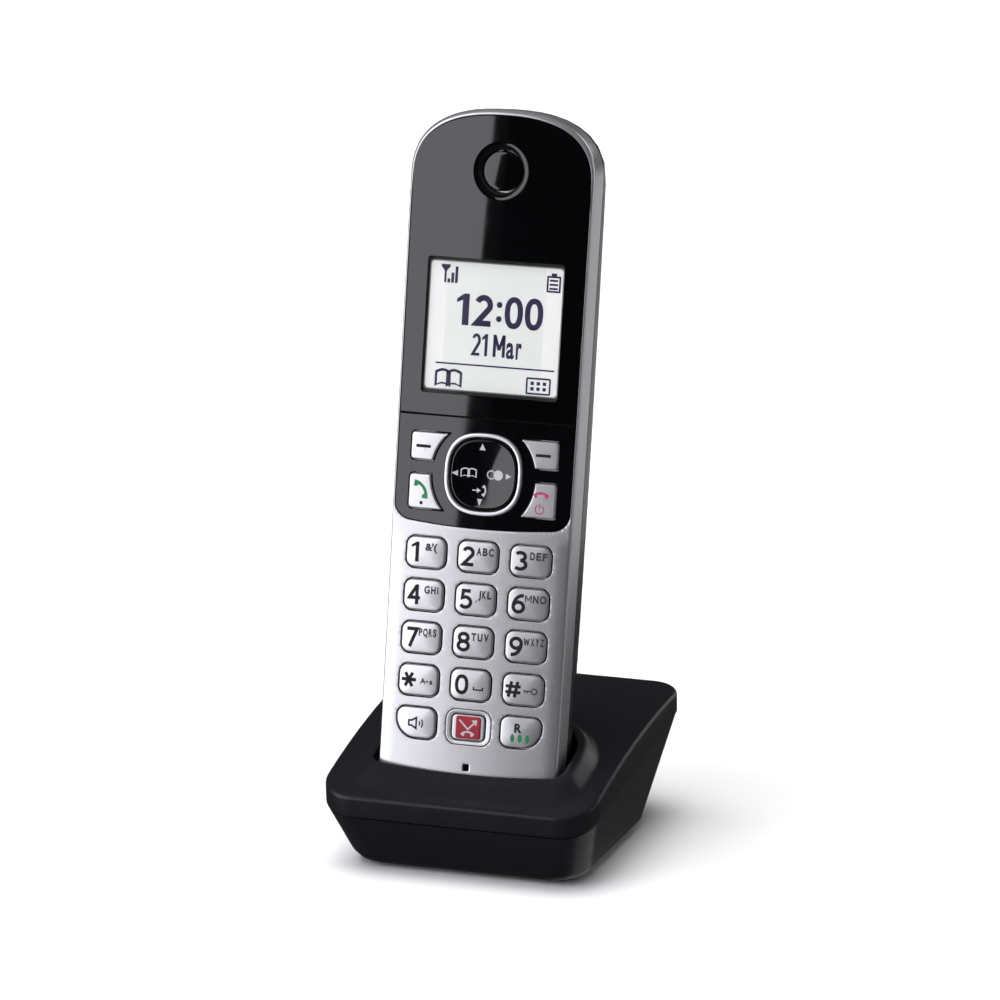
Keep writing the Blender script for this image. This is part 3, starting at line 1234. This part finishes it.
def build_stage():
    floor = sheet("floor", 9.0, floor_look())
    floor.visible_glossy = False
    flag = sheet("dark_card", 1, look("dark_card", (0.004, 0.004, 0.004), 0.95, mottle=0.1, specular=0.0))
    aim(flag, around(-1.5, 12, 2.4), MIDDLE)
    flag.scale = (0.80, 0.75, 1)
    flag.visible_camera = False
    area_light("left_card", around(-46.9, 14, 1.8), MIDDLE, 1.62, 1.7, 2.95, (0.95, 0.945, 1.0))
    area_light("top_box", (-0.35, -0.2, 2.3), (0, 0, 0), 2.4, 2.4, 5.0, mirrored=False)
    area_light("top_card", (-0.35, -0.2, 2.3), (0, 0, 0), 2.4, 2.4, 3.3, shines=False)
    area_light("side_card", (0.16, 0.36, 0.03), (0.02, 0, 0.12), 0.4, 0.16, 0.52, shines=False)
    area_light("right_card", around(105, 8, 2.0), MIDDLE, 1.3, 1.3, 0.9)
    area_light("back_card", around(152, 24, 2.2), MIDDLE, 1.0, 1.2, 1.6)
    area_light("low_back_card", around(152, -54, 1.3), MIDDLE, 1.4, 0.8, 0.5, shines=False)
    # dim room seen in reflections, a little lighter below the horizon, and white behind the object
    world = bpy.data.worlds.new("studio")
    world.use_nodes = True
    tree = world.node_tree
    height = make(tree, "SeparateXYZ", "Z", {"Vector": make(tree, "TexCoord", "Generated")})
    room = mix(tree, span(tree, height, 0, 1, -0.25, 0.05), (0.07, 0.07, 0.073, 1), (0.045, 0.045, 0.048, 1))
    background = tree.nodes["Background"].inputs
    wire(tree, mix(tree, make(tree, "LightPath", "Is Camera Ray"), room, (1, 1, 1, 1)), background["Color"])
    background["Strength"].default_value = 1.0
    bpy.context.scene.world = world


def build_camera():
    """At the photograph's viewing angle: to the right of the phone and above it, with a slight roll."""
    turn, rise, roll, distance = math.radians(21.12), math.radians(17.0), math.radians(-1.5), 1608.0
    back = Vector((math.sin(turn) * math.cos(rise), -math.cos(turn) * math.cos(rise), math.sin(rise)))
    right0 = Vector((math.cos(turn), math.sin(turn), 0))
    up0 = back.cross(right0)
    right = right0 * math.cos(roll) + up0 * math.sin(roll)
    up = -right0 * math.sin(roll) + up0 * math.cos(roll)
    target = right * 2.71 + Vector((0, -5.15, 89.96))
    data = bpy.data.cameras.new("camera")
    data.sensor_width, data.lens, data.clip_end = 36.0, 234.0, 50
    camera = new_object("camera", data)
    camera.matrix_world = Matrix((right, up, back)).transposed().to_4x4()
    camera.location = (target + back * distance) * MM
    bpy.context.scene.camera = camera
    bpy.context.scene.view_settings.view_transform = "Standard"


build_front_housing()
build_window()
build_nav_panel()
build_nav_ring()
build_nav_legends(build_nav_key())
build_earpiece()
build_display()
build_keys()
build_side_keys()
build_call_block()
build_cradle_top()
dress_cad_nodes()
build_stage()
build_camera()
